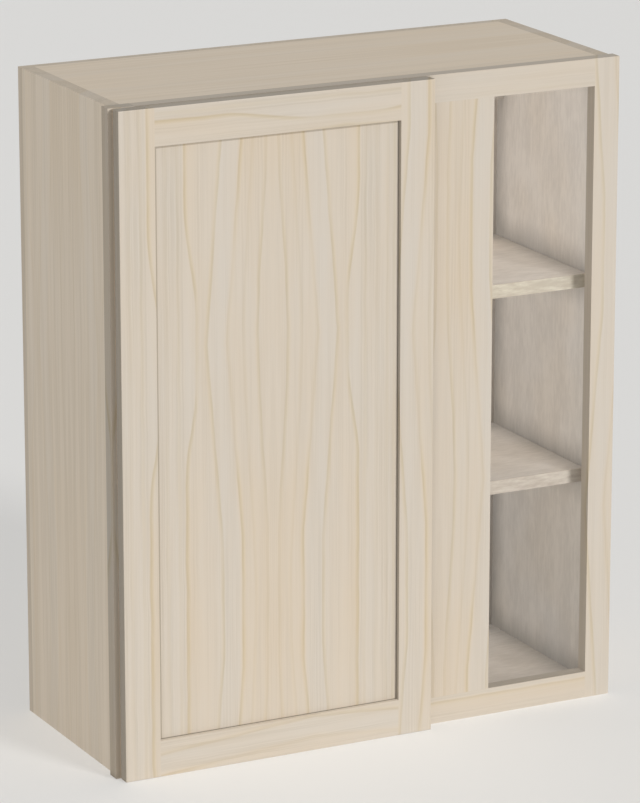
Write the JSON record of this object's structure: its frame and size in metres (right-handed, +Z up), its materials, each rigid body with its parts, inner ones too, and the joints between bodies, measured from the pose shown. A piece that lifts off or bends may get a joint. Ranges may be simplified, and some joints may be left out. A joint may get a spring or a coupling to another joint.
{
  "type": "corner wall cabinet",
  "caption": "Face-frame corner wall cabinet with a hinged recessed-panel door, a wide centre stile, an open framed bay and loose shelves resting on pins.",
  "frame": {"origin": "middle of the overall footprint, on the underside of the cabinet", "axes": "+Z up, the door and open bay face -Y, the wall side faces +Y, +X runs from the hinged door to the open bay"},
  "size_m": [0.762, 0.3258, 0.9144],
  "materials": {
    "maple_front": "clear satin lacquer on pale maple",
    "maple_panel": "clear satin lacquer on maple-faced plywood",
    "maple_interior": "clear satin lacquer on maple-faced plywood",
    "shelf_band": "clear satin lacquer on a maple edge band",
    "dowel_beech": "plain turned beech",
    "nickel_steel": "nickel plated",
    "spring_steel": "plain spring steel",
    "zinc_screw": "zinc plated",
    "soft_bumper": "clear soft plastic"
  },
  "bodies": {
    "cabinet": {"side_panel_left": "maple_panel", "side_panel_right": "maple_panel", "top_panel": "maple_panel", "bottom_panel": "maple_panel", "back_panel": "maple_panel", "hanging_rail": "maple_panel", "case_dowels": "dowel_beech", "frame_to_case_dowels": "dowel_beech", "frame_dowels": "dowel_beech", "back_screws": "zinc_screw", "frame_stile_left": "maple_front", "frame_stile_center": "maple_front", "frame_stile_right": "maple_front", "frame_rail_top": "maple_front", "frame_rail_bottom": "maple_front", "shelf_pins_lower": "nickel_steel", "shelf_pins_upper": "nickel_steel", "hinge_arm_lower": "nickel_steel", "hinge_arm_screws_lower": "zinc_screw", "hinge_arm_upper": "nickel_steel", "hinge_arm_screws_upper": "zinc_screw"},
    "door": {"door_stile_left": "maple_front", "door_stile_right": "maple_front", "door_rail_top": "maple_front", "door_rail_bottom": "maple_front", "door_panel": "maple_front", "door_bumpers": "soft_bumper", "hinge_cup_lower": "nickel_steel", "hinge_pin_lower": "nickel_steel", "hinge_spring_lower": "spring_steel", "hinge_cup_screws_lower": "zinc_screw", "hinge_cup_upper": "nickel_steel", "hinge_pin_upper": "nickel_steel", "hinge_spring_upper": "spring_steel", "hinge_cup_screws_upper": "zinc_screw"},
    "lower_shelf": {"shelf_lower": "maple_interior", "shelf_edge_band_lower": "shelf_band"},
    "upper_shelf": {"shelf_upper": "maple_interior", "shelf_edge_band_upper": "shelf_band"}
  },
  "joints": [
    {"name": "door_swing", "type": "hinge", "parent": "cabinet", "child": "door", "pos_m": [-0.3676, -0.15288, 0.4572], "axis": [0, 0, -1], "range_deg": [0, 105]},
    {"name": "lower_shelf_lift", "type": "slide", "parent": "cabinet", "child": "lower_shelf", "axis": [0, 0, 1], "range_m": [0, 0.25]},
    {"name": "upper_shelf_lift", "type": "slide", "parent": "cabinet", "child": "upper_shelf", "axis": [0, 0, 1], "range_m": [0, 0.195]}
  ]
}
